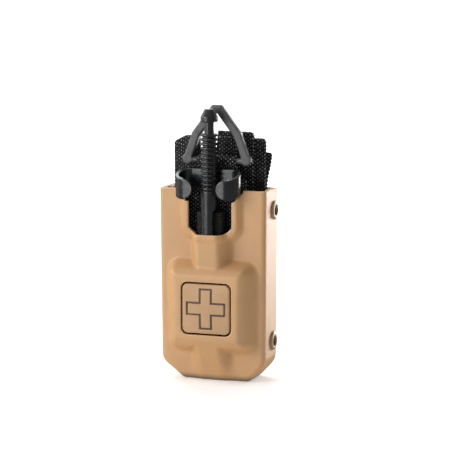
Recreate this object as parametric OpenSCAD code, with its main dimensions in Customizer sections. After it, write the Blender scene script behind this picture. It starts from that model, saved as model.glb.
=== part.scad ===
// Windlass tourniquet stowed in a rigid belt case.
// The case is two formed sheets joined by four eyelets; the tourniquet lies in it with its rod in the front channel.
// Depths named *_d are measured forward from the back face of the case. X is across, Z is up.

/* [Case] */
// Width of the case over its side walls
case_w = 62; // [61.6:0.2:64]
// Height of the case
case_h = 109; // [108:0.5:111]
// Depth of the case, back face to plain front face
case_d = 22.9; // [22.9:0.1:23.2]
// Thickness of the front sheet
wall = 2; // [1.8:0.1:2]
// Thickness of the back sheet
back_t = 1.6; // [1.2:0.1:1.6]
// Cut-off at the two bottom corners
corner_cut = 10; // [6:0.5:11]
// Outside radius of the two front vertical corners
corner_r = 2.4; // [2.4:0.1:4]

/* [Front relief] */
// Width of the open notch for the rod
notch_w = 25.3; // [24:0.1:26]
// Height of the notch floor
notch_z = 84; // [82:0.5:86]
// Width of the seat for the rod clip at the top of the notch
seat_w = 38.8; // [38.7:0.1:40]
// Width of the raised surround of the notch
surround_w = 37.4; // [34:0.2:42]
// Height of the lowest point of the surround
surround_z = 76; // [74:0.5:79]
// Rise of the surround from the plain front
surround_rise = 3.6; // [3:0.1:4.5]
// Width of the rod channel
channel_w = 22.8; // [22.8:0.1:24]
// Rise of the rod channel from the plain front
channel_rise = 8.8; // [8.8:0.1:9.4]
// Width of the square boss at its foot
boss_w = 54.4; // [53:0.2:56]
// Width of the boss at its face
boss_face_w = 45; // [44:0.2:47]
// Rise of the boss from the plain front
boss_rise = 10.1; // [10.1:0.1:11]
// Height of the centre of the boss
boss_z = 42.5; // [42:0.5:43]

/* [Badge] */
// Width of the square badge
badge_w = 28; // [24:0.2:28.4]
// Gap round the badge in the boss
badge_gap = 1; // [0.6:0.1:1]
// Corner radius of the badge
badge_r = 4; // [2:0.5:6]
// Span of the engraved cross
cross_w = 23.2; // [16:0.2:25]
// Width of each arm of the cross
cross_arm = 7.8; // [5:0.1:8]
// Width of the engraved line
groove_w = 1.2; // [0.8:0.1:1.6]

/* [Eyelets] */
// Radius of the bore of an eyelet
eyelet_bore_r = 2.95; // [2.5:0.05:3.2]
// Distance of the eyelets from the back face
eyelet_d = 7.5; // [7:0.1:7.8]
// Height of the lower eyelets
eyelet_low_z = 22; // [20:0.5:26]
// Height of the upper eyelets
eyelet_high_z = 96.5; // [90:0.5:98]

/* [Windlass] */
// Length of the windlass rod
rod_len = 133; // [131:0.5:133]
// Radius of the plain part of the rod
rod_r = 4.7; // [4.6:0.05:4.7]
// Radius of the grip rings
ring_r = 4.6; // [4.3:0.05:4.6]
// Spacing of the grip rings
ring_pitch = 2.5; // [2.3:0.1:2.6]
// Number of grip rings on each half of the rod
ring_count = 13; // [8:1:13]
// Height of the middle of the rod
rod_z = 87; // [86.8:0.1:87.5]
// Distance of the rod's axis from the back face
rod_d = 24.6; // [24.6:0.05:24.7]

/* [Clip] */
// Width of the rod clip
clip_w = 37.6; // [37:0.1:37.7]
// Height of the clip's band
clip_h = 11.2; // [10:0.1:11.6]
// Thickness of the clip's band
clip_t = 2.1; // [1.8:0.1:2.1]
// Gap between the two hooks
clip_gap = 14; // [12:0.1:15]
// Slope of the clip's rims, front below back
clip_tilt = 20; // [16:1:22]

/* [Webbing] */
// Width of the outer band
band_w = 38; // [37:0.1:38.2]
// Thickness of one layer of webbing
band_t = 1.4; // [1.2:0.05:1.45]
// Spacing of the folded layers
band_pitch = 1.62; // [1.6:0.01:1.63]
// Height of the centres of the bottom folds
fold_z = 18; // [16:0.5:24]
// Width of the strap that passes through the rod
strap_w = 19; // [17:0.5:19]

/* [Ring] */
// Thickness of the triangular ring
ring_t = 3.4; // [3:0.1:3.4]
// Width of the ring's limbs
limb_w = 4.4; // [3.6:0.1:4.6]
// Height of the ring's foot bar
bar_z = 124.3; // [124.2:0.1:125]
// Height of the ring above its foot bar
ring_h = 31; // [27:0.1:31.2]

/* [Hidden] */
$fn = 64;
gap = 0.1;        // gap between neighbouring solids
past = 1;         // how far a cutter runs past what it cuts
badge_proud = 0.6;
overall_d = case_d + boss_rise + badge_proud;   // back face to badge face
half_w = case_w / 2;
inner_half_w = half_w - wall;
barrel_r = eyelet_bore_r + 0.6;
EYELET_SIDES = [["left", -1], ["right", 1]];
EYELET_LEVELS = [["lower", eyelet_low_z], ["upper", eyelet_high_z]];

// Y of a plane that is d in front of the back face
function y_at(d) = overall_d / 2 - d;

// ---------- shared shapes ----------

// Square with rounded corners, centred on the origin
module round_square(side, r) {
    square([side - 2 * r, side], center = true);
    square([side, side - 2 * r], center = true);
    for (sx = [-1, 1], sz = [-1, 1]) translate([sx, sz] * (side / 2 - r)) circle(r);
}

// Children drawn as an outline in X and Z, standing between the depths d0 (back) and d1 (front)
module facing(d0, d1) {
    translate([0, y_at(d0), 0]) rotate([90, 0, 0]) linear_extrude(d1 - d0) children();
}

// Cylinder along X from x0 to x1 at depth d and height z
module x_rod(x0, x1, d, z, r) {
    translate([x0, y_at(d), z]) rotate([0, 90, 0]) cylinder(h = x1 - x0, r = r);
}

// Direction of the line from 2D point p to q, turned a quarter turn to the left
function left_of(p, q) = let (run = (q - p) / norm(q - p)) [-run[1], run[0]];

// Points of a path moved sideways by d, with mitred corners
function beside(points, d) = [
    for (i = [0 : len(points) - 1]) let (
        before = left_of(points[max(i - 1, 0)], points[max(i, 1)]),
        after = left_of(points[min(i, len(points) - 2)], points[min(i + 1, len(points) - 1)]),
        middle = before + after
    ) points[i] + d * 2 * middle / (middle * middle)
];

// Bar of width w along a path of 2D points
module bar_along(points, w) {
    outer = beside(points, w / 2);
    inner = beside(points, -w / 2);
    polygon(concat(outer, [for (i = [len(inner) - 1 : -1 : 0]) inner[i]]));
}

// ---------- case ----------

// Outline of the case seen from the front, drawn in by the inset t
module case_face(t) {
    w = half_w - t;
    corner = corner_cut - t * (2 - sqrt(2));
    polygon([[-w, t + corner], [-w + corner, t], [w - corner, t], [w, t + corner],
             [w, case_h + past * t], [-w, case_h + past * t]]);
}

// Plan of the case seen from above, drawn in by the inset t
module case_plan(t) {
    w = half_w - t;
    r = max(corner_r - t, 0.4);
    front = y_at(case_d - t);
    translate([-w, front + r]) square([2 * w, y_at(-past * t) - front - r]);
    translate([-w + r, front]) square([2 * (w - r), r + past]);
    for (s = [-1, 1]) translate([s * (w - r), front + r]) circle(r);
}

// Plain body of the case without its relief, drawn in by the inset t
module case_body(t) {
    intersection() {
        linear_extrude(case_h + past * t) case_plan(t);
        facing(-past * t, case_d - t) case_face(t);
    }
}

// The square boss with sloping sides, drawn in by the inset t
module boss(t) {
    tip = case_d + boss_rise - t;
    slices = [[case_d - 1 - t, boss_w, 7], [tip - 1.8, boss_face_w + 3, 5], [tip - 0.2, boss_face_w, 4]];
    hull() for (s = slices)
        facing(s[0], s[0] + 0.2) translate([0, boss_z]) round_square(s[1] - 2 * t, s[2], $fn = 32);
}

// Plan of the rod channel: a flat-topped half round with its foot inside the case
module channel_plan(t) {
    r = 8 - t;
    x = channel_w / 2 - 8;
    mid = y_at(case_d + channel_rise - 8);
    translate([-x, mid - r]) square([2 * x, r]);
    translate([-x - r, mid]) square([2 * (x + r), channel_rise - 8 + wall + past]);
    for (s = [-1, 1]) translate([s * x, mid]) circle(r);
}

// The channel above the boss, and its run-out that dips towards the foot of the case
module channel(t) {
    run_tilt = 12;
    run_z = boss_z - 10;
    translate([0, 0, boss_z]) linear_extrude(notch_z + 6 - boss_z) channel_plan(t);
    intersection() {
        translate([0, y_at(case_d), run_z]) rotate([run_tilt, 0, 0])
            translate([0, -y_at(case_d), -2 * run_z]) linear_extrude(2 * run_z) channel_plan(t);
        translate([-half_w, y_at(overall_d), t]) cube([case_w, overall_d - wall - past, run_z]);
    }
}

// Raised surround of the notch, drawn in by the inset t
module surround(t) {
    r = 9 - t;
    w = surround_w / 2 - t;
    low = surround_z + t;
    facing(case_d - wall - past, case_d + surround_rise - t) {
        translate([-w, low + r]) square([2 * w, case_h + past * t - low - r]);
        translate([-w + r, low]) square([2 * (w - r), r]);
        for (s = [-1, 1]) translate([s * (w - r), low + r]) circle(r);
    }
}

// Outline of the notch with cut corners, and of the clip's round-shouldered seat above it
module notch_face() {
    w = notch_w / 2;
    cut = 4.3;
    seat_r = 7;
    seat_mid = clip_x + 0.2;
    seat_x = seat_w / 2 - seat_r;
    seat_z = case_h - 7.3;
    polygon([[-w + cut, notch_z], [w - cut, notch_z], [w, notch_z + cut], [w, case_h + past],
             [-w, case_h + past], [-w, notch_z + cut]]);
    translate([seat_mid - seat_x, seat_z]) square([2 * seat_x, case_h + past - seat_z]);
    translate([seat_mid - seat_w / 2, seat_z + seat_r]) square([seat_w, case_h + past - seat_z - seat_r]);
    for (s = [-1, 1]) translate([seat_mid + s * seat_x, seat_z + seat_r]) circle(seat_r);
}

// Round cutters for the eyelets' barrels through both sides of the case
module barrel_holes() {
    inner = inner_half_w - back_t - past;
    for (s = [-1, 1], level = EYELET_LEVELS)
        x_rod(s > 0 ? inner : -half_w - past, s > 0 ? half_w + past : -inner,
              eyelet_d, level[1], barrel_r + gap / 2);
}

module case_front_shell() {
    color([0.78, 0.60, 0.43]) difference() {
        union() {
            case_body(0);
            boss(0);
            channel(0);
            surround(0);
        }
        case_body(wall);
        boss(wall);
        channel(wall);
        surround(wall);
        facing(case_d - wall - past, overall_d + past) notch_face();
        facing(case_d + boss_rise - wall - past, overall_d + past) translate([0, boss_z])
            round_square(badge_w + 2 * badge_gap, badge_r + badge_gap);
        barrel_holes();
    }
}

// Back sheet: a flat panel with two flanges that tuck inside the side walls
module case_back_plate() {
    flange_d = 13;
    w = inner_half_w - gap / 2;
    flange_foot_z = corner_cut + 5;
    color([0.74, 0.56, 0.40]) difference() {
        facing(0, flange_d) intersection() {
            case_face(wall + gap / 2);
            translate([-half_w, 0]) square([case_w, case_h]);
        }
        translate([-w + back_t, y_at(flange_d) - past, 0])
            cube([2 * (w - back_t), flange_d + past - back_t, case_h + past]);
        translate([-half_w, y_at(flange_d) - past, 0])
            cube([case_w, flange_d + past - back_t, flange_foot_z]);
        barrel_holes();
    }
}

// Hollow rivet on one side (-1 left, 1 right) at height z: outer head, barrel and rolled inner lip
module eyelet(side, z) {
    head_r = 5.3;
    head_t = 1;
    lip_r = 4.2;
    lip_t = 0.6;
    grip = wall + gap / 2 + back_t;
    color([0.66, 0.50, 0.34]) translate([side * half_w, y_at(eyelet_d), z])
        rotate([0, side * 90, 0]) rotate_extrude()
            polygon([[eyelet_bore_r, -grip - lip_t], [lip_r, -grip - lip_t], [lip_r, -grip],
                     [barrel_r, -grip], [barrel_r, 0], [head_r, 0], [head_r, 0.35],
                     [head_r - 0.7, head_t - 0.15], [head_r - 1.4, head_t], [eyelet_bore_r, head_t]]);
}

// Outline of the cross, drawn in by the inset t
module cross_face(t) {
    square([cross_w - 2 * t, cross_arm - 2 * t], center = true);
    square([cross_arm - 2 * t, cross_w - 2 * t], center = true);
}

// Badge: a plug through the boss with a flange behind its wall and an engraved cross
module badge() {
    face_d = case_d + boss_rise;
    flange_front_d = face_d - wall - gap / 2;
    flange_t = 0.95;
    groove_depth = 0.6;
    color([0.72, 0.55, 0.41]) translate([0, 0, boss_z]) difference() {
        union() {
            facing(flange_front_d - flange_t, face_d + badge_proud) round_square(badge_w, badge_r);
            facing(flange_front_d - flange_t, flange_front_d) round_square(badge_w + 4, badge_r + 2);
        }
        facing(face_d + badge_proud - groove_depth, face_d + past) difference() {
            cross_face(0);
            cross_face(groove_w);
        }
    }
}

// ---------- windlass ----------

rod_x = -0.8;
slot_len = 22;
slot_w = 3.2;
grip_start = 21;       // middle of the rod to the end of its plain part
knob_len = 6.8;
neck_r = 2.6;

// One half of the rod, from its middle outward along +Z
module rod_half() {
    half = rod_len / 2;
    flange_h = 2.6;
    rib_t = 1.2;
    cylinder(h = grip_start, r = rod_r);
    cylinder(h = half - knob_len + past, r = neck_r);
    for (i = [0 : ring_count - 1])
        translate([0, 0, grip_start + 0.6 + i * ring_pitch]) cylinder(h = rib_t, r = ring_r);
    for (turn = [0, 90]) rotate(turn)
        translate([-ring_r + 0.9, -rib_t / 2, grip_start - past])
            cube([2 * ring_r - 1.8, rib_t, ring_count * ring_pitch]);
    translate([0, 0, half - knob_len]) cylinder(h = flange_h, r = rod_r);
    translate([0, 0, half - knob_len + flange_h])
        cylinder(h = knob_len - flange_h, r1 = rod_r, r2 = rod_r - 2.3);
}

// Stadium-shaped cutter along X from x0 to x1, its length along Z
module slot_cut(len, w, x0, x1) {
    for (s = [-1, 1]) translate([x0, 0, s * (len - w) / 2])
        rotate([0, 90, 0]) cylinder(h = x1 - x0, d = w);
    translate([x0, -w / 2, -(len - w) / 2]) cube([x1 - x0, w, len - w]);
}

module windlass_rod() {
    dish = 1.7;
    color([0.07, 0.07, 0.08]) translate([rod_x, y_at(rod_d), rod_z]) difference() {
        union() {
            rod_half();
            mirror([0, 0, 1]) rod_half();
        }
        slot_cut(slot_len, slot_w, -rod_r - past, rod_r + past);
        slot_cut(slot_len + 1, slot_w + 4, rod_r - dish, rod_r + past);
        slot_cut(slot_len + 1, slot_w + 4, -rod_r - past, -rod_r + dish);
    }
}

band_front_d = 17.5;

// Strap through the rod's slot, turned back to the outer band on both sides
module inner_strap() {
    strap_t = 1.3;
    bow = 3.2;
    reach = rod_r + 0.4;
    front = y_at(rod_d) - strap_t / 2;
    foot = y_at(band_front_d + gap);
    color([0.05, 0.05, 0.055]) translate([rod_x, 0, rod_z - strap_w / 2]) linear_extrude(strap_w) {
        translate([-reach, front]) square([2 * reach, strap_t]);
        for (s = [-1, 1]) {
            intersection() {
                translate([s * reach, front + bow]) difference() {
                    circle(bow);
                    circle(bow - strap_t);
                }
                translate([s * (reach + bow / 2), front + bow / 2]) square(bow, center = true);
            }
            translate([s * (reach + bow - strap_t / 2) - strap_t / 2, front + bow])
                square([strap_t, foot - front - bow]);
        }
    }
}

// ---------- clip and plate ----------

clip_back_d = 17.6;
clip_front_d = 33.2;
clip_end_r = 7.7;      // radius of the plan's round ends
clip_x = -1.1;
clip_top_z = 120.4;    // rim at the back of the clip
plate_back_d = 13.2;
plate_front_d = 14.4;
post_z = 109;
post_r = 1.5;
POST_XS = [-9, 9];

// Plan of the clip's ring, drawn in by the inset t
module clip_plan(t) {
    w = clip_w / 2 - t;
    r = clip_end_r - t;
    back = y_at(clip_back_d + t);
    front = y_at(clip_front_d - t);
    translate([-w + r, front]) square([2 * (w - r), back - front]);
    translate([-w, front + r]) square([2 * w, back - front - 2 * r]);
    for (s = [-1, 1], y = [front + r, back - r]) translate([s * (w - r), y]) circle(r);
}

// Slab between the clip's sloping rims
module rim_slab() {
    reach = 60;
    behind = 20;
    translate([-clip_w, y_at(clip_back_d), clip_top_z]) rotate([clip_tilt, 0, 0])
        translate([0, behind - reach, -clip_h * cos(clip_tilt)])
            cube([2 * clip_w, reach, clip_h * cos(clip_tilt)]);
}

module windlass_clip() {
    hook_r = 5.5;
    hook_z = clip_top_z - (clip_front_d - clip_back_d - past) * tan(clip_tilt) - clip_h / 2;
    hook_back_d = clip_front_d - clip_t - 2;
    foot_t = 1.6;
    foot_z = clip_top_z - 18;
    lug_x = clip_w / 2 - 0.3;
    color([0.06, 0.06, 0.07]) translate([clip_x, 0, 0]) {
        difference() {
            intersection() {
                linear_extrude(clip_top_z + past) difference() {
                    clip_plan(0);
                    clip_plan(clip_t);
                }
                rim_slab();
            }
            difference() {
                facing(hook_back_d, clip_front_d + past) translate([0, clip_top_z / 2])
                    square([clip_gap + 2 * hook_r, clip_top_z], center = true);
                for (s = [-1, 1]) facing(hook_back_d - past, clip_front_d + 2 * past)
                    translate([s * (clip_gap / 2 + hook_r), hook_z]) circle(hook_r);
            }
        }
        for (s = [-1, 1]) facing(clip_back_d, clip_back_d + foot_t)
            polygon([[s * 14, foot_z], [s * (lug_x - 0.8), foot_z], [s * lug_x, foot_z + 10],
                     [s * 14, foot_z + 12]]);
        for (x = POST_XS) facing(plate_back_d + 0.2, clip_back_d + past)
            translate([x - clip_x, post_z]) circle(post_r);
    }
}

// Stiffening plate behind the band, with holes for the clip's posts and slots for the strap
module stabilization_plate() {
    w = 17.5;
    top_z = 113;
    low_z = 44;
    r = 8;
    color([0.06, 0.06, 0.07]) facing(plate_back_d, plate_front_d) difference() {
        union() {
            translate([-w, low_z + r]) square([2 * w, top_z - low_z - 2 * r]);
            translate([-w + r, low_z]) square([2 * (w - r), top_z - low_z]);
            for (s = [-1, 1], z = [low_z + r, top_z - r]) translate([s * (w - r), z]) circle(r);
        }
        for (x = POST_XS) translate([x, post_z]) circle(post_r + gap / 2);
        for (s = [-1, 1]) translate([s * 9.6, rod_z]) square([2.4, strap_w + 2], center = true);
    }
}

// ---------- webbing ----------

LAYER_XS = [-7.4, -7.4, 1.5, 1.5, 7.4, 7.4, 7.4];
FOLD_TOPS = [137.4, 140, 136.3];
tail_top_z = 128.5;
last_layer = len(LAYER_XS) - 1;
first_layer_d = 12.4;
front_ply_d = band_front_d - band_t / 2;
back_ply_d = plate_front_d + gap + band_t / 2;
ply_top_z = 114;
ring_x = 1;
bar_d = 16.5;
bar_r = 1.6;
keeper_w = 24;

// Depth of folded layer i, counted from the front
function layer_d(i) = first_layer_d - i * band_pitch;
// Height of the centre of the fold that tops layer i
function fold_top(i) = FOLD_TOPS[floor(i / 2)] - (band_pitch + band_t) / 2;

// Half ring joining two layers at depths d0 > d1, at the top (s = 1) or the bottom (s = -1)
module fold(x0, x1, d0, d1, z, s) {
    outer = (d0 - d1 + band_t) / 2;
    translate([x0, y_at((d0 + d1) / 2), z]) rotate([90, 0, 90]) linear_extrude(x1 - x0)
        intersection() {
            difference() {
                circle(outer);
                circle(outer - band_t);
            }
            translate([-outer, s > 0 ? 0 : -outer]) square([2 * outer, outer]);
        }
}

// One straight layer of the band, centred on x
module layer(x, d, z0, z1) {
    translate([x - band_w / 2, y_at(d) - band_t / 2, z0]) cube([band_w, band_t, z1 - z0]);
}

// Free end of the band with its two corners rounded
module tail() {
    r = 6;
    d = layer_d(last_layer);
    facing(d - band_t / 2, d + band_t / 2) translate([LAYER_XS[last_layer], 0]) {
        translate([-band_w / 2, fold_z]) square([band_w, tail_top_z - fold_z - r]);
        translate([-band_w / 2 + r, fold_z]) square([band_w - 2 * r, tail_top_z - fold_z]);
        for (s = [-1, 1]) translate([s * (band_w / 2 - r), tail_top_z - r]) circle(r);
    }
}

// Outer band: two plies in front of the plate, then layers folded up and down behind it
module outer_band() {
    back_ply_z = 100;
    color([0.045, 0.045, 0.05]) difference() {
        union() {
            layer(0, front_ply_d, fold_z, ply_top_z);
            layer(0, back_ply_d, back_ply_z, ply_top_z);
            translate([-band_w / 2, y_at(front_ply_d), ply_top_z - 2 * band_t])
                cube([band_w, front_ply_d - back_ply_d, 2 * band_t]);
            fold(-band_w / 2, LAYER_XS[0] + band_w / 2, front_ply_d, first_layer_d, fold_z, -1);
            for (i = [0 : last_layer - 1]) layer(LAYER_XS[i], layer_d(i), fold_z, fold_top(i));
            tail();
            for (i = [0 : 2 : last_layer - 1])
                fold(LAYER_XS[i] - band_w / 2, LAYER_XS[i] + band_w / 2,
                     layer_d(i), layer_d(i + 1), fold_top(i), 1);
            for (i = [1 : 2 : last_layer - 1])
                fold(max(LAYER_XS[i], LAYER_XS[i + 1]) - band_w / 2,
                     min(LAYER_XS[i], LAYER_XS[i + 1]) + band_w / 2,
                     layer_d(i), layer_d(i + 1), fold_z, -1);
        }
        for (x = POST_XS) facing(plate_front_d, clip_back_d) translate([x, post_z])
            circle(post_r + gap / 2);
    }
}

// Patch of hook fastener on the back of the band's free end
module hook_patch() {
    patch_t = 1;
    margin = 2.5;
    low_z = case_h + 2;
    side = band_w - 2 * margin;
    front_d = layer_d(last_layer) - band_t / 2;
    color([0.1, 0.1, 0.1]) facing(front_d - patch_t, front_d)
        translate([LAYER_XS[last_layer] - side / 2, low_z]) square([side, tail_top_z - 4 - low_z]);
}

// Webbing loop round the ring's foot bar, sewn down on the end of the band
module ring_keeper() {
    color([0.05, 0.05, 0.055]) translate([ring_x - keeper_w / 2, 0, 0]) difference() {
        union() {
            translate([0, y_at(bar_d), bar_z]) rotate([0, 90, 0])
                cylinder(h = keeper_w, r = bar_r + 0.08 + band_t);
            translate([0, y_at(band_front_d), ply_top_z])
                cube([keeper_w, band_front_d - back_ply_d + band_t / 2, bar_z - ply_top_z]);
        }
        translate([-past, y_at(bar_d), bar_z]) rotate([0, 90, 0])
            cylinder(h = keeper_w + 2 * past, r = bar_r + 0.08);
    }
}

// Two rows of thread that hold the plate's edges to the band, each stitch a separate solid
module plate_stitching() {
    stitch_l = 2.6;
    stitch_w = 0.7;
    stitch_t = 0.35;
    row_x = 16.6;
    row_z = [46, 98];
    color([0.09, 0.09, 0.1]) for (s = [-1, 1], z = [row_z[0] : 2 * stitch_l : row_z[1]])
        facing(band_front_d, band_front_d + stitch_t) translate([s * row_x, z])
            square([stitch_w, stitch_l], center = true);
}

// ---------- ring ----------

// Triangular ring: two bent limbs from a rounded apex to the foot knobs, and a round foot bar
module triangle_ring() {
    apex = [1.5, ring_h - limb_w / 2];
    bend = [12.4, 14.5];
    foot = [17.3, 0.6];
    knob_r = 3;
    color([0.08, 0.08, 0.085]) {
        translate([ring_x, 0, bar_z]) facing(bar_d - ring_t / 2, bar_d + ring_t / 2) {
            bar_along([[-foot[0], foot[1]], [-bend[0], bend[1]], [-apex[0], apex[1]],
                       apex, bend, foot], limb_w);
            for (s = [-1, 1]) translate([s * foot[0], foot[1]]) circle(knob_r);
        }
        x_rod(ring_x - foot[0], ring_x + foot[0], bar_d, bar_z, bar_r);
    }
}

// ---------- nodes ----------

case_front_shell();
case_back_plate();
badge();
for (side = EYELET_SIDES, level = EYELET_LEVELS)
    eyelet(side[1], level[1]);
windlass_rod();
inner_strap();
windlass_clip();
stabilization_plate();
outer_band();
hook_patch();
ring_keeper();
plate_stitching();
triangle_ring();
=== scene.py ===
"""Windlass tourniquet stowed in a rigid belt case: the visual model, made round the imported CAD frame.

Lengths are in millimetres until MM turns them into metres.
A depth is measured forward from the case's back face.
"""

import math

import bmesh
import bpy
import numpy as np
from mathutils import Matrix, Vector


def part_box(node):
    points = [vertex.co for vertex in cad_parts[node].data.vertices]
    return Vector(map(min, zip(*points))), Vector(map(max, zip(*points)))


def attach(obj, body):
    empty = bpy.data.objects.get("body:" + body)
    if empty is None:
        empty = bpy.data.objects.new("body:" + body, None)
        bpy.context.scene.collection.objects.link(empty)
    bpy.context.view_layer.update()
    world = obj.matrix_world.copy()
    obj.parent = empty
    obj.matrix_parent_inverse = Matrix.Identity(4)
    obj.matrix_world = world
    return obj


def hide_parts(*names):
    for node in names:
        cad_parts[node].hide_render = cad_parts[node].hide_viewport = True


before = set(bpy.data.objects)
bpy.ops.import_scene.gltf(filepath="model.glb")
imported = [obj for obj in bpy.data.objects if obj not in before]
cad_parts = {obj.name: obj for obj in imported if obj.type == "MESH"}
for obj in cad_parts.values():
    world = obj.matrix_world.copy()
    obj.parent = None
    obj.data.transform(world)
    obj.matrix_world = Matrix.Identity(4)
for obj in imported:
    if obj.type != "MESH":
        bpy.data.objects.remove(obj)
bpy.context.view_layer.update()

MM = 0.001

SHELL_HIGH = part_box("case_front_shell")[1]
BACK_Y = SHELL_HIGH.y / MM
CASE_H = SHELL_HIGH.z / MM
CASE_D = 22.9
TOP_HALF, LOW_HALF = 31.55, 30.8
WALL = 2.0
LEFT_CUT, RIGHT_CUT = (13.0, 9.8), (9.5, 10.1)
BOSS_Z, BOSS_HALF, BOSS_DEPTH = 42.5, 26.4, 33.0
CHANNEL_HALF, CREST_HALF = 12.0, 6.6
NOTCH_HALF = 12.65
NOTCH_Z = 84.0
NOTCH_CUT = 3.6
SEAT_MID, SEAT_HALF, SEAT_R = -0.9, 19.4, 7.0
SEAT_Z = CASE_H - 7.0
BADGE_HALF = 14.0
BADGE_R = 2.9
BADGE_GAP = 0.85
EYELET_SEAT_R = 3.6
BAND_PITCH, BAND_COLUMN, STRAP_COLUMN = 2.1, 1.35, 1.0


# ---------- helpers ----------

def at(x, depth, z):
    """Row-frame point, in metres, of a place given in millimetres and depth."""
    return np.stack(np.broadcast_arrays(x, BACK_Y - depth, z), -1).astype(float) * MM


def step(t):
    """Smooth rise from 0 to 1 as t goes from 0 to 1."""
    t = np.clip(t, 0, 1)
    return t * t * (3 - 2 * t)


def smooth_max(a, b, k):
    """Larger of a and b, blended where they are within k of each other."""
    h = np.clip(0.5 + 0.5 * (a - b) / k, 0, 1)
    return b + (a - b) * h + k * h * (1 - h)


def smooth_min(a, b, k):
    """Smaller of a and b, blended where they are within k of each other."""
    return -smooth_max(-a, -b, k)


def depth_inside(x, z, half_x, half_z, r):
    """How far a point is inside a rounded rectangle about the origin; negative outside."""
    qx, qz = np.abs(x) - half_x + r, np.abs(z) - half_z + r
    return r - np.hypot(np.maximum(qx, 0), np.maximum(qz, 0)) - np.minimum(np.maximum(qx, qz), 0)


def spaced(stops, pitch):
    """Values through all the stops, about pitch apart."""
    out = [float(stops[0])]
    for a, b in zip(stops, stops[1:]):
        n = max(1, round(abs(b - a) / pitch))
        out += [a + (b - a) * (k + 1) / n for k in range(n)]
    return np.array(out)


def mesh_object(name, points, faces, uv=None):
    """Smooth-shaded mesh object; uv holds one pair for each vertex."""
    mesh = bpy.data.meshes.new(name)
    mesh.from_pydata([tuple(p) for p in points], [], faces)
    if uv is not None:
        layer = mesh.uv_layers.new(name="weave")
        corners = np.empty(len(mesh.loops), int)
        mesh.loops.foreach_get("vertex_index", corners)
        layer.data.foreach_set("uv", np.asarray(uv, float)[corners].ravel())
    mesh.shade_smooth()
    mesh.update()
    obj = bpy.data.objects.new(name, mesh)
    bpy.context.scene.collection.objects.link(obj)
    return obj


def applied(obj):
    """Replaces the object's mesh with what its modifiers make of it."""
    made = bpy.data.meshes.new_from_object(obj.evaluated_get(bpy.context.evaluated_depsgraph_get()))
    obj.modifiers.clear()
    obj.data = made
    obj.data.shade_smooth()
    return obj


def finished(obj, body, slot, material, *nodes):
    """Gives a piece its material and body, and hides the CAD nodes that it stands for; slot is not used."""
    obj.data.materials.clear()
    obj.data.materials.append(material)
    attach(obj, body)
    if nodes:
        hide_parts(*nodes)
    return obj


def ribbed_faces(rings, count, closed):
    """Quads between rings of count vertices each; closed joins each ring's ends."""
    faces = []
    for k in range(rings - 1):
        for i in range(count if closed else count - 1):
            a, b = k * count + i, k * count + (i + 1) % count
            faces.append((a, a + count, b + count, b))
    return faces


# ---------- materials ----------

class Nodes:
    """Short way to build a material's node tree."""

    def __init__(self, name):
        self.material = bpy.data.materials.new(name)
        self.material.use_nodes = True
        self.tree = self.material.node_tree
        self.shader = self.tree.nodes["Principled BSDF"]

    def add(self, kind, inputs=(), **settings):
        node = self.tree.nodes.new(kind)
        for key, value in settings.items():
            setattr(node, key, value)
        for key, value in dict(inputs).items():
            self.put(node.inputs[key], value)
        return node

    def put(self, socket, value):
        if isinstance(value, bpy.types.NodeSocket):
            self.tree.links.new(value, socket)
        else:
            socket.default_value = value

    def math(self, operation, a, b=0.0):
        return self.add("ShaderNodeMath", {0: a, 1: b}, operation=operation).outputs[0]

    def noise(self, coordinate, scale, detail=2.0, roughness=0.5):
        inputs = {"Vector": coordinate, "Scale": scale, "Detail": detail, "Roughness": roughness}
        return self.add("ShaderNodeTexNoise", inputs).outputs["Fac"]

    def stretch(self, vector, scale):
        return self.add("ShaderNodeMapping", {"Vector": vector, "Scale": scale}).outputs[0]

    def blend(self, fac, a, b, mode="MIX"):
        node = self.add("ShaderNodeMix", data_type="RGBA", blend_type=mode)
        for index, value in ((0, fac), (6, a), (7, b)):
            value = (*value, 1) if isinstance(value, tuple) and len(value) == 3 else value
            self.put(node.inputs[index], value)
        return node.outputs[2]

    def span(self, value, low, high, to_low, to_high):
        inputs = {0: value, 1: low, 2: high, 3: to_low, 4: to_high}
        return self.add("ShaderNodeMapRange", inputs).outputs[0]

    def bump(self, height, strength, distance, below=None):
        inputs = {"Height": height, "Strength": strength, "Distance": distance}
        if below is not None:
            inputs["Normal"] = below
        return self.add("ShaderNodeBump", inputs).outputs[0]

    def set(self, **inputs):
        for key, value in inputs.items():
            value = (*value, 1) if isinstance(value, tuple) and len(value) == 3 else value
            self.put(self.shader.inputs[key.replace("_", " ")], value)
        return self.material

    @property
    def place(self):
        return self.add("ShaderNodeTexCoord").outputs["Object"]

    @property
    def edge(self):
        return self.add("ShaderNodeNewGeometry").outputs["Pointiness"]


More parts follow.
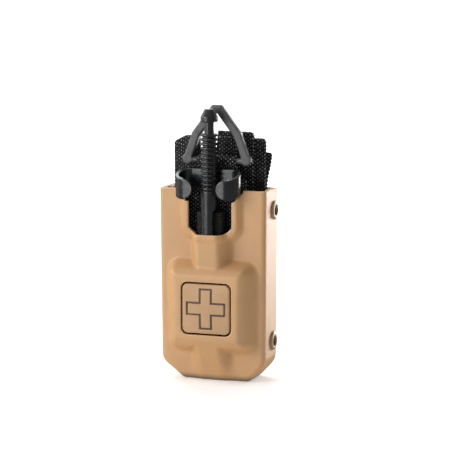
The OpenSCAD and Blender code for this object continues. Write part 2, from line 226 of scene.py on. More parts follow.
def tan_sheet(name, colour, lip, grain=0.16):
    """Formed sheet with a fine haircell grain and slight mottling; its sharp edges are painted pale as a
    painted highlight, and its bottom few millimetres are darkened as painted shade.
    """
    n = Nodes(name)
    place = n.place
    mottle = n.noise(place, 60, 3)
    speck = n.noise(place, 1500, 2)
    dull, bright = (tuple(c * share for c in colour) for share in (0.94, 1.05))
    tone = n.blend(n.span(mottle, 0.3, 0.7, 0, 1), dull, bright)
    tone = n.blend(n.span(speck, 0.35, 0.75, 0, 0.22), tone, tuple(c * 0.78 for c in colour))
    # Painted highlight: sharp edges, found by pointiness, are blended towards the lip colour.
    tone = n.blend(n.span(n.edge, 0.525, 0.60, 0, 0.85), tone, lip)
    fine = n.bump(n.noise(place, 2100, 2.5, 0.6), grain, 0.0002)
    broad = n.bump(n.noise(place, 700, 1.5), grain * 0.7, 0.0003, fine)
    rough = n.span(n.noise(place, 900, 2), 0.3, 0.7, 0.42, 0.54)
    # Painted shade: the bottom few millimetres of each piece are darkened, standing in for the shadow under
    # the case.
    foot = n.span(n.add("ShaderNodeSeparateXYZ", {0: place}).outputs[2], 0.0006, 0.0038, 0.32, 1)
    painted_bottom_shade = n.add("ShaderNodeCombineColor", {0: foot, 1: foot, 2: foot}).outputs[0]
    tone = n.blend(1.0, tone, painted_bottom_shade, "MULTIPLY")
    return n.set(Base_Color=tone, Roughness=rough, Normal=broad, Specular_IOR_Level=1.0)


def moulded_black(name, colour, rough, grain=0.1):
    """Black moulded plastic with a satin face, faint flow marks and rubbed edges."""
    n = Nodes(name)
    place = n.place
    tone = n.blend(n.span(n.noise(place, 180, 4), 0.35, 0.7, 0, 1), colour, tuple(c * 1.7 for c in colour))
    tone = n.blend(n.span(n.edge, 0.54, 0.66, 0, 0.5), tone, tuple(0.03 + c * 2.5 for c in colour))
    fine = n.bump(n.noise(place, 2600, 2), grain, 0.00012)
    shine = n.span(n.noise(place, 420, 3), 0.3, 0.7, rough - 0.06, rough + 0.08)
    return n.set(Base_Color=tone, Roughness=shine, Normal=fine, Specular_IOR_Level=0.9)


def webbing(name, pitch, column, low, high, painted_glint=0.35):
    """Woven nylon in the piece's own weave coordinates: columns of warp floats with shiny crowns; the crowns
    are painted lighter, with painted glints in patches (painted highlight), and the hollows darker (painted
    shade).
    """
    n = Nodes(name)
    uv = n.add("ShaderNodeUVMap", uv_map="weave").outputs[0]
    split = n.add("ShaderNodeSeparateXYZ", {0: uv})
    cell = n.math("DIVIDE", split.outputs[0], column)
    odd = n.math("MULTIPLY", n.math("FLOOR", cell), math.pi)
    turn = n.math("MULTIPLY", split.outputs[1], 2 * math.pi / pitch)
    wave = n.span(n.math("COSINE", n.math("ADD", turn, odd)), -1, 1, 0, 1)
    crown = n.math("ABSOLUTE", n.math("SINE", n.math("MULTIPLY", cell, math.pi)))
    knot = n.math("MULTIPLY", n.math("ADD", n.math("MULTIPLY", wave, 0.8), 0.2), crown)
    fibre = n.noise(n.stretch(uv, (6.0, 1.2, 1.0)), 1.6, 3, 0.7)
    # Painted light: the crowns are painted lighter as a painted highlight, and the hollows between them
    # darker as painted shade.
    tone = n.blend(n.span(knot, 0.25, 0.9, 0, 1), low, high)
    tone = n.blend(n.span(fibre, 0.35, 0.75, 0, 0.7), tone, tuple(c * 0.5 for c in low))
    # Painted highlight: the highest crowns, in patches, are painted towards a light grey glint.
    patches = n.span(n.noise(uv, 1.1, 3), 0.38, 0.68, 0.02, 1)
    shine = n.math("MULTIPLY", n.span(knot, 0.66, 0.90, 0, 1), patches)
    tone = n.blend(shine, tone, (painted_glint, painted_glint, painted_glint))
    hairs = n.bump(fibre, 0.5, 0.00015, n.bump(knot, 1.0, 0.0005))
    rough = n.span(knot, 0.5, 1, 0.6, 0.3)
    return n.set(Base_Color=tone, Roughness=rough, Normal=hairs, Specular_IOR_Level=0.45)


def painted_metal(name):
    """Tan paint over brass, rubbed through to bare metal on the rims."""
    n = Nodes(name)
    place = n.place
    scuffs = n.span(n.noise(place, 900, 4), 0.35, 0.6, 0.2, 1)
    worn = n.math("MULTIPLY", n.span(n.edge, 0.52, 0.6, 0, 1), scuffs)
    tone = n.blend(worn, (0.30, 0.19, 0.10), (0.62, 0.50, 0.34))
    fine = n.bump(n.noise(place, 2500, 3), 0.2, 0.0001)
    return n.set(Base_Color=tone, Metallic=n.math("MULTIPLY", worn, 0.8), Roughness=0.38, Normal=fine)


TAN = (0.565, 0.310, 0.124)
# EDGE_HIGHLIGHT_TAN is the colour of the painted highlight on the case sheet's edges; the second colour
# given to each tan sheet is its painted edge highlight.
EDGE_HIGHLIGHT_TAN = (0.90, 0.72, 0.52)
MATERIALS = {
    "shell": tan_sheet("formed_sheet_tan", TAN, EDGE_HIGHLIGHT_TAN),
    "badge": tan_sheet("badge_tan", (0.50, 0.28, 0.125), (0.78, 0.55, 0.34), grain=0.08),
    "groove": tan_sheet("badge_engraving", (0.075, 0.035, 0.018), (0.16, 0.09, 0.05), grain=0.1),
    "eyelet": painted_metal("eyelet_paint"),
    "rod": moulded_black("rod_nylon", (0.0050, 0.0056, 0.0068), 0.30),
    "clip": moulded_black("clip_nylon", (0.0045, 0.0055, 0.0068), 0.22),
    "ring": moulded_black("ring_nylon", (0.042, 0.042, 0.043), 0.40, grain=0.2),
    # For each webbing the two colours run from the painted shade of the hollows to the painted highlight of
    # the crowns, and the number is the grey of its painted glints.
    "band": webbing("band_weave", BAND_PITCH, BAND_COLUMN,
                    (0.0012, 0.0012, 0.0014), (0.009, 0.009, 0.010), 0.55),
    "strap": webbing("strap_weave", 1.6, STRAP_COLUMN,
                     (0.003, 0.003, 0.0025), (0.026, 0.027, 0.021), 0.07),
    "hook": moulded_black("hook_tape", (0.004, 0.004, 0.004), 0.70, grain=0.3),
    "thread": moulded_black("bonded_thread", (0.02, 0.02, 0.021), 0.5, grain=0.3),
}


# ---------- camera, lights and floor ----------

def make_camera():
    azimuth, elevation, distance = math.radians(19.5), math.radians(8.0), 1.139
    target = Vector((-0.2, BACK_Y, 85.55)) * MM
    back = Vector((math.sin(azimuth) * math.cos(elevation), -math.cos(azimuth) * math.cos(elevation),
                   math.sin(elevation)))
    data = bpy.data.cameras.new("camera")
    data.sensor_width = 36
    data.lens = 160
    camera = bpy.data.objects.new("camera", data)
    camera.location = target + back * distance
    camera.rotation_mode = "QUATERNION"
    camera.rotation_quaternion = (-back).to_track_quat("-Z", "Y")
    bpy.context.scene.collection.objects.link(camera)
    bpy.context.scene.camera = camera


# Name: (place, width, height, radiance), all in metres; every light faces the middle of the object.
LIGHTS = {
    "key_left": ((-0.75, -0.75, 0.45), 0.4, 0.6, 6.6),
    "front_left_low": ((-0.50, -1.10, 0.20), 0.5, 0.6, 2.7),
    "left_side": ((-1.0, 0.0, 0.40), 0.8, 0.8, 1.6),
    "rear_right": ((0.42, 1.05, 0.12), 0.9, 0.6, 7.6),
    "rear_left": ((-0.70, 1.00, 0.40), 0.9, 0.8, 1.0),
    "top_back": ((-0.35, 0.65, 0.80), 0.8, 0.7, 3.5),
    "top": ((-0.10, -0.15, 1.10), 0.40, 0.35, 5.0),
}
FLOOR_GLOW = 0.33
WALL_GLOW = 1.1
WORLD = 0.20


def area_light(name, place, width, height, radiance):
    data = bpy.data.lights.new(name, "AREA")
    data.shape = "RECTANGLE"
    data.size, data.size_y = width, height
    data.energy = radiance * math.pi * width * height
    light = bpy.data.objects.new(name, data)
    light.location = place
    light.rotation_mode = "QUATERNION"
    light.rotation_quaternion = (Vector((0, 0, 0.075)) - Vector(place)).to_track_quat("-Z", "Y")
    bpy.context.scene.collection.objects.link(light)


def revolved(name, profile):
    """Surface of revolution about Z, from (radius, height) points in metres."""
    segments = 96
    turn = np.linspace(0, 2 * math.pi, segments, endpoint=False)
    points = [(r * math.cos(t), r * math.sin(t), z) for r, z in profile for t in turn]
    return mesh_object(name, points, ribbed_faces(len(profile), segments, True))


def make_stage():
    """Round white floor that curves up into a backdrop, and soft studio lights."""
    world = bpy.data.worlds.new("studio")
    bpy.context.scene.world = world
    world.use_nodes = True
    background = world.node_tree.nodes["Background"]
    background.inputs["Color"].default_value = (1, 1, 1, 1)
    background.inputs["Strength"].default_value = WORLD
    for name, (place, width, height, radiance) in LIGHTS.items():
        area_light(name, place, width, height, radiance)
    bpy.context.scene.view_settings.view_transform = "Standard"
    inner, outer, bend, top = 0.9, 1.4, 0.5, 2.4
    n = Nodes("white_paper")
    paper = n.blend(n.noise(n.place, 40, 2), (0.90, 0.90, 0.90), (0.93, 0.93, 0.93))
    away = n.add("ShaderNodeVectorMath", {0: n.place}, operation="LENGTH").outputs["Value"]
    glow = n.span(away, 0.5, outer, FLOOR_GLOW, WALL_GLOW)
    n.set(Base_Color=paper, Roughness=0.8, Emission_Color=(1.0, 1.0, 1.0), Emission_Strength=glow)
    turn = np.radians(np.linspace(0, 90, 13))
    curve = list(zip(outer + bend * np.sin(turn), bend - bend * np.cos(turn)))
    floor = revolved("paper_floor", [(0.001, 0.0), (inner, 0.0)])
    backdrop = revolved("paper_backdrop", [(inner, 0.0)] + curve + [(outer + bend, top)])
    backdrop.visible_diffuse = False
    for sheet in (floor, backdrop):
        sheet.data.materials.append(n.material)
        sheet.visible_glossy = False


# ---------- case ----------

def tray(name, columns, rows, sides_at, depth_at, rim, wall_end, toward, drop=None, snap=None):
    """Sheet with a face over a grid, an edge of radius rim, and walls to the depth wall_end(z).

    toward is 1 for a face in front with its walls behind it, and -1 for the opposite.
    drop says which cells are cut out, and snap moves a vertex on a cut to the cut's outline.
    The top edge stays open.
    """
    full = columns[-1]
    z = np.repeat(rows[:, None], len(columns), 1)
    left, right = sides_at(z)
    share = columns[None, :] / full
    x = np.where(share < 0, left, right) * share
    kept = np.ones((len(rows) - 1, len(columns) - 1), bool)
    if drop is not None:
        mid_x = (x[1:, 1:] + x[:-1, :-1]) / 2
        mid_z = (z[1:, 1:] + z[:-1, :-1]) / 2
        kept = ~drop(mid_x, mid_z)
        near_kept, near_cut = np.zeros(x.shape, bool), np.zeros(x.shape, bool)
        for dj in (0, 1):
            for di in (0, 1):
                window = (slice(dj, dj + kept.shape[0]), slice(di, di + kept.shape[1]))
                near_kept[window] |= kept
                near_cut[window] |= ~kept
        on_cut = near_kept & near_cut
        x[on_cut], z[on_cut] = snap(x[on_cut], z[on_cut])
    depth = depth_at(x, z)
    wide = len(columns)
    points = list(at(x, depth, z).reshape(-1, 3))
    faces = []
    for j, i in zip(*np.nonzero(kept)):
        a = j * wide + i
        faces.append((a, a + 1, a + wide + 1, a + wide)[::toward])
    last = len(rows) - 1
    loop = [(j, 0) for j in range(last, 0, -1)]
    loop += [(0, i) for i in range(wide)] + [(j, wide - 1) for j in range(1, last + 1)]
    lx, lz, ld = (np.array([grid[j, i] for j, i in loop]) for grid in (x, z, depth))
    tx, tz = np.gradient(lx), np.gradient(lz)
    size = np.hypot(tx, tz)
    nx, nz = tz / size, -tx / size
    nx[[0, -1]], nz[[0, -1]] = (-1, 1), 0
    ring = [j * wide + i for j, i in loop]
    turns = [(math.sin(t), 1 - math.cos(t)) for t in np.radians((22.5, 45, 67.5, 90))]
    walls = 16
    rings = [(rim * out, ld - toward * rim * back) for out, back in turns]
    foot = ld - toward * rim
    end = wall_end(lz)
    rings += [(rim, foot + (end - foot) * (k + 1) / walls) for k in range(walls)]
    for out, ring_depth in rings:
        start = len(points)
        points += list(at(lx + nx * out, ring_depth, lz + nz * out))
        new = list(range(start, start + len(loop)))
        for k in range(len(loop) - 1):
            faces.append((ring[k], new[k], new[k + 1], ring[k + 1])[::toward])
        ring = new
    return mesh_object(name, points, faces)


def thickened(obj, thickness, group=""):
    """Gives a sheet its thickness, inwards; it is thinnest where the vertex group is zero."""
    solid = obj.modifiers.new("thickness", "SOLIDIFY")
    solid.thickness = thickness * MM
    solid.offset = -1
    solid.use_even_offset = True
    solid.vertex_group = group
    solid.thickness_vertex_group = 0.35
    smooth = obj.modifiers.new("rounding", "SUBSURF")
    smooth.levels = smooth.render_levels = 1
    return applied(obj)


def drilled(obj):
    """Cuts the seats of the four eyelets through the side walls."""
    mesh = bmesh.new()
    for node in ("eyelet_left_lower", "eyelet_left_upper"):
        low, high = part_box(node)
        made = bmesh.ops.create_cone(mesh, cap_ends=True, segments=48, radius1=EYELET_SEAT_R * MM,
                                     radius2=EYELET_SEAT_R * MM, depth=0.2)
        for v in made["verts"]:
            v.co = Vector((v.co.z, v.co.y + (low.y + high.y) / 2, v.co.x + (low.z + high.z) / 2))
    bmesh.ops.recalc_face_normals(mesh, faces=mesh.faces)
    data = bpy.data.meshes.new("seat_cutter")
    mesh.to_mesh(data)
    mesh.free()
    cutter = bpy.data.objects.new("seat_cutter", data)
    bpy.context.scene.collection.objects.link(cutter)
    cut = obj.modifiers.new("seats", "BOOLEAN")
    cut.operation = "DIFFERENCE"
    cut.solver = "EXACT"
    cut.object = cutter
    applied(obj)
    bpy.data.objects.remove(cutter)
    return obj


def case_sides(inset):
    """Left and right half widths of the case's outline at a height, with cut bottom corners."""
    def half(z, run, rise):
        slope = run / rise
        wide = LOW_HALF + (TOP_HALF - LOW_HALF) * z / CASE_H - inset
        return smooth_min(wide, LOW_HALF - run + slope * z - inset * math.hypot(1, slope), 2.5)

    return lambda z: (half(z, *LEFT_CUT), half(z, *RIGHT_CUT))


def front_depth(x, z):
    """Depth of the case's outer front surface."""
    base = CASE_D - 1.2 * (1 - z / CASE_H)
    raised = depth_inside(x, z - 139.5, 18.7, 60.0, 9.0)
    around = base + 3.7 * step(raised / 3.4)
    low_rise = 1.4 + 7.4 * step(z / 23.5)
    high_rise = 8.8 - 0.5 * (1 - step((z - 64) / 12)) + 1.2 * step(raised / 1.6)
    flank = (CHANNEL_HALF - np.abs(x)) / (CHANNEL_HALF - CREST_HALF)
    channel = base - 0.3 + np.where(z > BOSS_Z, high_rise, low_rise) * smooth_min(flank, 1 + 0 * x, 0.35)
    inside = depth_inside(x, z - BOSS_Z, BOSS_HALF, BOSS_HALF, 7.5)
    sides = smooth_min(base - 0.4 + 1.95 * inside, base + 4.4 + 0.83 * inside, 1.1)
    boss = smooth_min(sides, BOSS_DEPTH + 0.0 * x, 1.0)
    return smooth_max(smooth_max(around, channel, 1.6), boss, 2.0)


def in_notch(x, z):
    side = np.abs(x)
    narrow = (side < NOTCH_HALF) & (z > NOTCH_Z + np.maximum(0, side - NOTCH_HALF + NOTCH_CUT))
    side = np.abs(x - SEAT_MID)
    round_part = np.hypot(side - SEAT_HALF + SEAT_R, z - SEAT_Z - SEAT_R) < SEAT_R
    return narrow | round_part | ((side < SEAT_HALF - SEAT_R) & (z > SEAT_Z))


def in_badge_hole(x, z):
    half = BADGE_HALF + BADGE_GAP
    return depth_inside(x, z - BOSS_Z, half, half, BADGE_R + BADGE_GAP) > 0


def cut_outlines():
    """Dense points along the notch's outline and round the badge's hole."""
    side = []
    corners = [(0, NOTCH_Z), (NOTCH_HALF - NOTCH_CUT, NOTCH_Z),
               (NOTCH_HALF, NOTCH_Z + NOTCH_CUT), (NOTCH_HALF, SEAT_Z)]
    for (xa, za), (xb, zb) in zip(corners, corners[1:]):
        for t in np.linspace(0, 1, 120):
            side.append((xa + (xb - xa) * t, za + (zb - za) * t))
    outline = [(s * x, z) for x, z in side for s in (-1, 1)]
    turn = np.linspace(-math.pi / 2, 0, 90)
    straight = SEAT_HALF - SEAT_R
    outline += [(SEAT_MID + s * (straight + SEAT_R * math.cos(t)), SEAT_Z + SEAT_R * (1 + math.sin(t)))
                for t in turn for s in (-1, 1)]
    outline += [(x, SEAT_Z) for s in (-1, 1)
                for x in np.linspace(s * NOTCH_HALF, SEAT_MID + s * straight, 12)]
    half, r = BADGE_HALF + BADGE_GAP, BADGE_R + BADGE_GAP
    hole = []
    for t in np.linspace(0, math.pi / 2, 60):
        hole.append((half - r + r * math.cos(t), half - r + r * math.sin(t)))
    for t in np.linspace(0, half - r, 80):
        hole += [(half, t), (t, half)]
    outline += [(sx * x, BOSS_Z + sz * z) for x, z in hole for sx in (-1, 1) for sz in (-1, 1)]
    return np.array(outline)


def sheet_share(x, z):
    """Share of the sheet's full thickness left where it is drawn over the rod and its lower knob."""
    across = 1 - step((abs(x) - 12) / 1.5)
    over_rod = step((z - 56) / 3) * (1 - step((z - 78) / 4))
    over_knob = step((z - 13) / 4) * (1 - step((z - 20) / 4))
    return float(1 - across * max(over_rod, over_knob))


def make_front_shell():
    rim = 2.4
    pitch = 0.75
    hole = BADGE_HALF + BADGE_GAP
    columns = spaced([rim - TOP_HALF, SEAT_MID - SEAT_HALF, -hole, -NOTCH_HALF, 0,
                      NOTCH_HALF, hole, SEAT_MID + SEAT_HALF, TOP_HALF - rim], pitch)
    rows = spaced([rim, BOSS_Z - hole, BOSS_Z + hole, NOTCH_Z, NOTCH_Z + NOTCH_CUT, SEAT_Z,
                   CASE_H - 0.35], pitch)
    outline = cut_outlines()

    def snap(x, z):
        gaps = (x[:, None] - outline[None, :, 0]) ** 2 + (z[:, None] - outline[None, :, 1]) ** 2
        nearest = outline[gaps.argmin(1)]
        top = z > rows[-1] - 0.01
        reach = SEAT_HALF - SEAT_R + np.sqrt(SEAT_R ** 2 - (SEAT_Z + SEAT_R - rows[-1]) ** 2)
        return np.where(top, SEAT_MID + np.sign(x) * reach, nearest[:, 0]), np.where(top, z, nearest[:, 1])

    shell = tray("front_shell", columns, rows, case_sides(rim), front_depth, rim, lambda z: 0.3 + 0 * z, 1,
                 lambda x, z: in_notch(x, z) | in_badge_hole(x, z), snap)
    drawn = shell.vertex_groups.new(name="drawn")
    for vertex in shell.data.vertices:
        drawn.add([vertex.index], sheet_share(vertex.co.x / MM, vertex.co.z / MM), "REPLACE")
    drilled(thickened(shell, WALL, drawn.name))
    return finished(shell, "case", "case_sheet", MATERIALS["shell"], "case_front_shell")


def make_back_plate():
    inset = WALL + 0.1
    rim = 1.0
    sheet = 1.6
    flange, foot = 13.0, 2.6
    edge = TOP_HALF - inset - rim
    columns = spaced([-edge, 0, edge], 1.5)
    rows = spaced([inset + rim, CASE_H - 0.4], 1.5)
    plate = tray("back_plate", columns, rows, case_sides(inset + rim), lambda x, z: 0 * x, rim,
                 lambda z: np.where(z > 15, flange, foot), -1)
    drilled(thickened(plate, sheet))
    return finished(plate, "case", "case_sheet", MATERIALS["shell"], "case_back_plate")


def make_badge():
    half, r, rim = BADGE_HALF, BADGE_R, 0.9
    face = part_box("badge")[0].y / MM
    face_depth = BACK_Y - face - 0.1
    cells = 104
    grid = np.linspace(-1, 1, cells + 1)
    a, b = np.meshgrid(grid, grid)
    flat = half - rim
    x, z = a * flat, b * flat
    spread = np.maximum(np.abs(a), np.abs(b))
    scale = np.maximum(spread, 1e-6)
    beyond = np.abs(depth_inside(x / scale, z / scale, flat, flat, r - rim))
    shrink = 1 - 1.15 * step((spread - 0.55) / 0.45) * beyond * scale / np.maximum(np.hypot(x, z), 1e-6)
    x, z = x * shrink, z * shrink
    arm, reach, line = 3.9, 11.6, 1.15
    in_cross = np.maximum(
        np.minimum(reach - np.abs(x), arm - np.abs(z)), np.minimum(arm - np.abs(x), reach - np.abs(z)))
    groove = step((line / 2 - np.abs(in_cross - line / 2)) / 0.35 + 0.5)
    dome = 0.45 * (1 - (spread ** 2))
    depth = face_depth - 0.4 + dome - 0.5 * groove
    points = list(at(x, depth, z + BOSS_Z).reshape(-1, 3))
    wide = cells + 1
    faces = [(j * wide + i, j * wide + i + 1, (j + 1) * wide + i + 1, (j + 1) * wide + i)
             for j in range(cells) for i in range(cells)]
    loop = [(j, 0) for j in range(cells, 0, -1)] + [(0, i) for i in range(cells)]
    loop += [(j, cells) for j in range(cells)] + [(cells, i) for i in range(cells, 0, -1)]
    lx, lz, ld = (np.array([g[j, i] for j, i in loop]) for g in (x, z, depth))
    tx, tz = np.roll(lx, -1) - np.roll(lx, 1), np.roll(lz, -1) - np.roll(lz, 1)
    size = np.hypot(tx, tz)
    nx, nz = tz / size, -tx / size
    ring = [j * wide + i for j, i in loop]
    rings = [(rim * math.sin(t), ld - rim * (1 - math.cos(t))) for t in np.radians((22.5, 45, 67.5, 90))]
    rings += [(rim, ld - rim - k) for k in (0.7, 1.4, 2.0)]
    rings += [(rim * 0.5, ld - rim - 2.2)]
    for out, ring_depth in rings:
        start = len(points)
        points += list(at(lx + nx * out, ring_depth, lz + nz * out + BOSS_Z))
        new = list(range(start, start + len(loop)))
        for k in range(len(loop)):
            m = (k + 1) % len(loop)
            faces.append((ring[k], new[k], new[m], ring[m]))
        ring = new
    faces.append(tuple(ring))
    badge = mesh_object("badge_plate", points, faces)
    finished(badge, "case", "badge", MATERIALS["badge"], "badge")
    badge.data.materials.append(MATERIALS["groove"])
    centre = groove[:-1, :-1] + groove[1:, 1:] + groove[:-1, 1:] + groove[1:, :-1]
    dark = np.zeros(len(faces), int)
    dark[:cells * cells] = (centre > 2.2).ravel()
    badge.data.polygons.foreach_set("material_index", dark)
    return badge


def lathe(name, profile, segments, place, axis):
    """Solid of revolution: profile holds (radius, distance along the axis) in mm, as a closed outline."""
    turn = Vector((0, 0, 1)).rotation_difference(Vector(axis)).to_matrix()
    points = []
    for radius, along in profile:
        for k in range(segments):
            t = 2 * math.pi * k / segments
            local = Vector((radius * math.cos(t), radius * math.sin(t), along))
            points.append(tuple((turn @ local) * MM + Vector(place)))
    rings = len(profile)
    faces = ribbed_faces(rings, segments, True)
    for k in range(segments):
        a, b = (rings - 1) * segments + k, (rings - 1) * segments + (k + 1) % segments
        faces.append((a, k, (k + 1) % segments, b))
    obj = mesh_object(name, points, faces)
    mesh = bmesh.new()
    mesh.from_mesh(obj.data)
    bmesh.ops.recalc_face_normals(mesh, faces=mesh.faces)
    mesh.to_mesh(obj.data)
    mesh.free()
    return obj


def make_eyelet(node):
    low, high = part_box(node)
    side = 1 if low.x > 0 else -1
    bore, head, barrel, lip, head_t = 2.95, 5.3, 3.55, 4.2, 1.5
    length = (high.x - low.x) / MM
    level = (low.z + high.z) / 2
    outer = LOW_HALF + (TOP_HALF - LOW_HALF) * level / MM / CASE_H + head_t
    centre = Vector((side * outer * MM, (low.y + high.y) / 2, level))
    profile = [(bore, -length), (bore, -0.5)]
    profile += [(bore + 0.45 * (1 - math.cos(t)), -0.45 + 0.45 * math.sin(t))
                for t in np.radians((20, 45, 70, 90))]
    profile += [(4.0, -0.02), (4.4, -0.08), (4.8, -0.26), (5.1, -0.5),
                (head, -0.8), (head, -head_t + 0.02), (barrel, -head_t)]
    profile += [(barrel, -length + 0.6), (lip, -length + 0.6), (lip, -length + 0.25), (lip - 0.3, -length)]
    eyelet = lathe(node + "_ring", profile, 56, centre, (side, 0, 0))
    return finished(eyelet, "case", "eyelet", MATERIALS["eyelet"], node)


# ---------- moulded plastics ----------

def moulded(node, name, body, slot, material, voxel, rounds, swell):
    """Soft-edged moulding made from a CAD node's own shape; swell gives back what the smoothing takes."""
    piece = bpy.data.objects.new(name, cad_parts[node].data.copy())
    bpy.context.scene.collection.objects.link(piece)
    remesh = piece.modifiers.new("voxels", "REMESH")
    remesh.mode = "VOXEL"
    remesh.voxel_size = voxel * MM
    soften = piece.modifiers.new("soften", "SMOOTH")
    soften.factor = 0.5
    soften.iterations = rounds
    regrow = piece.modifiers.new("regrow", "DISPLACE")
    regrow.strength = swell * MM
    regrow.mid_level = 0
    applied(piece)
    return finished(piece, body, slot, material, node)


# ---------- webbing ----------

def arc(centre_depth, z, radius, start, end, steps):
    """Points (depth, z) on an arc; angles in degrees from the forward direction, upwards."""
    turn = np.radians(np.linspace(start, end, steps))
    return [(centre_depth + radius * math.cos(t), z + radius * math.sin(t)) for t in turn]


def resampled(path, pitch_at):
    """Points along a polyline, spaced by pitch_at(point)."""
    path = np.asarray(path, float)
    gaps = np.linalg.norm(np.diff(path, axis=0), axis=1)
    along = np.concatenate([[0], np.cumsum(gaps)])
    places, s = [], 0.0
    while s < along[-1]:
        places.append(s)
        point = [np.interp(s, along, path[:, k]) for k in range(path.shape[1])]
        s += pitch_at(point)
    places.append(along[-1])
    out = np.stack([np.interp(places, along, path[:, k]) for k in range(path.shape[1])], -1)
    return out, np.array(places)


def ribbon(path, along, across_dir, width, thickness, pitch, column, relief, cells):
    """Points, faces and weave coordinates of a woven strap along a path of row-frame points (mm)."""
    tangent = np.gradient(path, axis=0)
    tangent /= np.linalg.norm(tangent, axis=1)[:, None]
    across = np.broadcast_to(np.asarray(across_dir, float), path.shape)
    normal = np.cross(tangent, across)
    normal /= np.linalg.norm(normal, axis=1)[:, None]
    rib = np.cos(2 * math.pi * along / pitch)
    half = width / 2 - 0.2 + 0.2 * rib
    share = np.linspace(-1, 1, cells + 1)
    u = share[None, :] * half[:, None]
    edge = np.clip((1 - np.abs(share)) * width / 2 / 1.0, 0, 1)
    body = thickness / 2 * np.sqrt(1 - (1 - edge) ** 2)
    weave = rib[:, None] * (0.3 + 0.7 * np.sin(math.pi * u / column)) * relief * edge[None, :]
    back_weave = rib[:, None] * (0.3 - 0.7 * np.sin(math.pi * u / column)) * relief * edge[None, :]
    side = u[..., None] * across[:, None, :]
    top = path[:, None, :] + side + (body + weave)[..., None] * normal[:, None, :]
    low = path[:, None, :] + side - (body + back_weave)[..., None] * normal[:, None, :]
    loop = np.concatenate([top, low[:, -2:0:-1]], 1)
    uv = np.stack([u + 40 * column, np.broadcast_to(along[:, None], u.shape)], -1)
    loop_uv = np.concatenate([uv, uv[:, -2:0:-1]], 1)
    rings, count = loop.shape[:2]
    faces = ribbed_faces(rings, count, True)
    faces.append(tuple(range(count)))
    faces.append(tuple(range(rings * count - 1, (rings - 1) * count - 1, -1)))
    return loop.reshape(-1, 3), faces, loop_uv.reshape(-1, 2)


BAND_W, BAND_T = 37.6, 1.2
LAYER_XS = (-7.4, -7.4, 1.5, 1.5, 7.4, 7.4, 7.4)
FOLD_TOPS = (137.5, 140.2, 136.4)
FIRST_LAYER, LAYER_GAP = 12.4, 1.62
FRONT_PLY = 16.8
FOLD_Z = 18.0
TAIL_TOP = 128.3


def band_route():
    """The band's centreline as (x, depth, z): down the front ply, then up and down behind the plate."""
    route = [(0.0, FRONT_PLY, 114.0), (0.0, FRONT_PLY, FOLD_Z)]
    radius = (FRONT_PLY - FIRST_LAYER) / 2
    route += [(LAYER_XS[0] * k / 11, d, z)
              for k, (d, z) in enumerate(arc(FIRST_LAYER + radius, FOLD_Z, radius, 0, -180, 12))]
    r = LAYER_GAP / 2
    for i, x in enumerate(LAYER_XS):
        depth = FIRST_LAYER - i * LAYER_GAP
        if i == len(LAYER_XS) - 1:
            route.append((x, depth, TAIL_TOP))
        elif i % 2 == 0:
            top = FOLD_TOPS[i // 2] - r - BAND_T / 2
            route += [(x, depth, top)] + [(x, d, z) for d, z in arc(depth - r, top, r, 0, 180, 9)]
        else:
            after = LAYER_XS[i + 1]
            route += [(x, depth, FOLD_Z + 30)]
            route += [((x + after) / 2, d, z) for d, z in arc(depth - r, FOLD_Z, r, 0, -180, 9)]
            route += [(after, depth - LAYER_GAP, FOLD_Z + 30)]
    return route


def settle(points):
    """Lets the folds sag, round off at their corners and splay where they stand out of the case."""
    x, depth, z = points[:, 0], BACK_Y - points[:, 1], points[:, 2]
    behind = depth < 13.6
    layer = np.clip(np.round((FIRST_LAYER - depth) / LAYER_GAP), 0, len(LAYER_XS) - 1).astype(int)
    off = x - np.array(LAYER_XS)[layer]
    free = step((z - 108) / 20) * behind
    high = step((z - 124) / 10) * behind
    tail = layer == len(LAYER_XS) - 1
    corner = np.clip((np.abs(off) - BAND_W / 2 + 3) / 3, 0, 1)
    drop = np.where(tail, 4.5, 2.0) * (1 - np.sqrt(1 - corner ** 2))
    drop = drop + np.where((layer < 2) & (off < 0), 2.6 * step((-off - 11) / 7), 0)
    wave = 0.25 * np.sin(x / 5.1 + depth) + 0.15 * np.sin(x / 2.3 - 2 * depth)
    sag_x = -5.8 - 0.3 * (11.6 - depth)
    sag = 10.5 * (1 - step((np.abs(x - sag_x) - 4.4) / 1.2)) * step((z - 119) / 14) * behind
    out = points.copy()
    out[:, 0] = x + np.where(tail, 2.9, 0.0) * free
    out[:, 1] = BACK_Y - (depth + free * 0.3 * wave)
    out[:, 2] = z - sag - drop * high + free * 0.4 * wave
    return out


def make_band():
    route, along = resampled(band_route(), lambda p: 0.45 if p[2] > 100 or p[2] < 17 or p[1] > 14 else 1.1)
    path = np.stack([route[:, 0], BACK_Y - route[:, 1], route[:, 2]], -1)
    points, faces, uv = ribbon(path, along, (1, 0, 0), BAND_W, BAND_T, BAND_PITCH, BAND_COLUMN, 0.2, 84)
    band = mesh_object("folded_band", settle(points) * MM, faces, uv)
    finished(band, "tourniquet", "band_webbing", MATERIALS["band"], "outer_band")


def make_inner_strap():
    low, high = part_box("inner_strap")
    centre_x = (low.x + high.x) / 2 / MM
    half = (high.x - low.x) / 2 / MM - 0.65
    width = (high.z - low.z) / MM - 0.3
    front, foot = BACK_Y - low.y / MM - 0.65, BACK_Y - high.y / MM + 0.1
    r = 2.5
    side = [(half, foot), (half, front - r)]
    side += [(half - r + r * math.cos(t), front - r + r * math.sin(t)) for t in np.radians((22, 45, 68, 90))]
    outline = side + [(-x, d) for x, d in reversed(side)]
    mid_z = (low.z + high.z) / 2 / MM
    route, along = resampled([(centre_x + x, BACK_Y - d, mid_z) for x, d in outline], lambda p: 0.4)
    points, faces, uv = ribbon(route, along, (0, 0, 1), width, 1.15, 1.6, STRAP_COLUMN, 0.08, 76)
    strap = mesh_object("rod_strap", points * MM, faces, uv)
    finished(strap, "tourniquet", "strap_webbing", MATERIALS["strap"], "inner_strap")


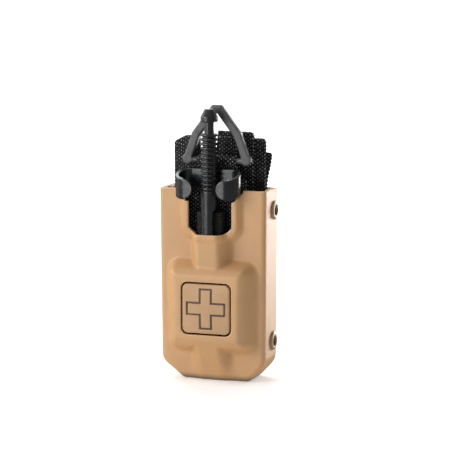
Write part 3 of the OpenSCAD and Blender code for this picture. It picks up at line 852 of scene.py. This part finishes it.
def make_keeper():
    low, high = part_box("ring_keeper")
    bar_low, bar_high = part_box("triangle_ring")
    bar_depth = BACK_Y - (bar_low.y + bar_high.y) / 2 / MM
    r = 2.4
    bar_z = high.z / MM - 3.08
    centre_x = (low.x + high.x) / 2 / MM
    tails = (bar_depth - 1.15, bar_depth + 0.5)
    outline = [(tails[0], 114.3), (tails[0], 119.5)]
    outline += arc(bar_depth, bar_z, r, 232, -52, 26)
    outline += [(tails[1], 119.5), (tails[1], 114.3)]
    route, along = resampled([(centre_x, BACK_Y - d, z) for d, z in outline], lambda p: 0.5)
    points, faces, uv = ribbon(route, along, (1, 0, 0), 23.6, 1.15, BAND_PITCH, BAND_COLUMN, 0.15, 50)
    keeper = mesh_object("ring_loop", points * MM, faces, uv)
    finished(keeper, "tourniquet", "band_webbing", MATERIALS["band"], "ring_keeper")


def make_hook_patch():
    """Hook tape: a thin backing on the tail, with rows of small hooked pegs that face backward."""
    low, high = (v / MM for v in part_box("hook_patch"))
    backing, pitch = 0.45, 1.1
    peg_length = high.y - low.y - backing + 0.1
    middle = (low + high) / 2
    shift = settle(np.array([[middle.x, high.y, middle.z]]))[0][0] - middle.x
    mesh = bmesh.new()
    bmesh.ops.create_cube(mesh, size=1)
    for v in mesh.verts:
        v.co = Vector((middle.x + shift + v.co.x * (high.x - low.x),
                       low.y + backing / 2 + v.co.y * backing,
                       middle.z + v.co.z * (high.z - low.z)))
    bmesh.ops.bevel(mesh, geom=mesh.edges[:], offset=0.15, segments=2, affect="EDGES")
    for x in np.arange(low.x + 1, high.x - 0.6, pitch):
        for z in np.arange(low.z + 0.8, high.z - 0.6, pitch):
            peg = bmesh.ops.create_cone(mesh, cap_ends=True, segments=6, radius1=0.16, radius2=0.30, depth=1)
            for v in peg["verts"]:
                along = v.co.z + 0.5
                v.co = Vector((shift + x + v.co.x, high.y - peg_length * (1 - along),
                               z + v.co.y + 0.15 * along))
    patch = bpy.data.meshes.new("hook_tape")
    for v in mesh.verts:
        v.co *= MM
    bmesh.ops.recalc_face_normals(mesh, faces=mesh.faces)
    mesh.to_mesh(patch)
    mesh.free()
    obj = bpy.data.objects.new("hook_tape", patch)
    bpy.context.scene.collection.objects.link(obj)
    return finished(obj, "tourniquet", "hook_fastener", MATERIALS["hook"], "hook_patch")


def make_stitching():
    """Thread that shows in short raised stitches along both edges of the plate."""
    low, high = (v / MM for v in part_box("plate_stitching"))
    mesh = bmesh.new()
    stitch, pitch, r = 2.6, 5.2, 0.33
    for x in (low.x + 0.35, high.x - 0.35):
        for z in np.arange(low.z + stitch / 2, high.z, pitch):
            ball = bmesh.ops.create_uvsphere(mesh, u_segments=10, v_segments=8, radius=1)
            for v in ball["verts"]:
                twist = 0.12 * math.sin(v.co.z * 6)
                v.co = Vector((x + v.co.x * r + twist, high.y - 0.05 + v.co.y * r, z + v.co.z * stitch / 2))
    for v in mesh.verts:
        v.co *= MM
    data = bpy.data.meshes.new("plate_thread")
    mesh.to_mesh(data)
    mesh.free()
    data.shade_smooth()
    obj = bpy.data.objects.new("plate_thread", data)
    bpy.context.scene.collection.objects.link(obj)
    return finished(obj, "tourniquet", "thread", MATERIALS["thread"], "plate_stitching")


# ---------- build ----------

make_camera()
make_stage()
make_front_shell()
make_back_plate()
make_badge()
for node_name in sorted(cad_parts):
    if node_name.startswith("eyelet_"):
        make_eyelet(node_name)
moulded("windlass_rod", "rod", "windlass", "rod_plastic", MATERIALS["rod"], 0.2, 4, 0.14)
moulded("windlass_clip", "clip", "tourniquet", "clip_plastic", MATERIALS["clip"], 0.2, 6, 0.06)
moulded("stabilization_plate", "plate", "tourniquet", "clip_plastic", MATERIALS["clip"], 0.4, 3, 0)
moulded("triangle_ring", "ring_body", "ring", "ring_plastic", MATERIALS["ring"], 0.22, 30, 0.12)
make_band()
make_inner_strap()
make_keeper()
make_hook_patch()
make_stitching()
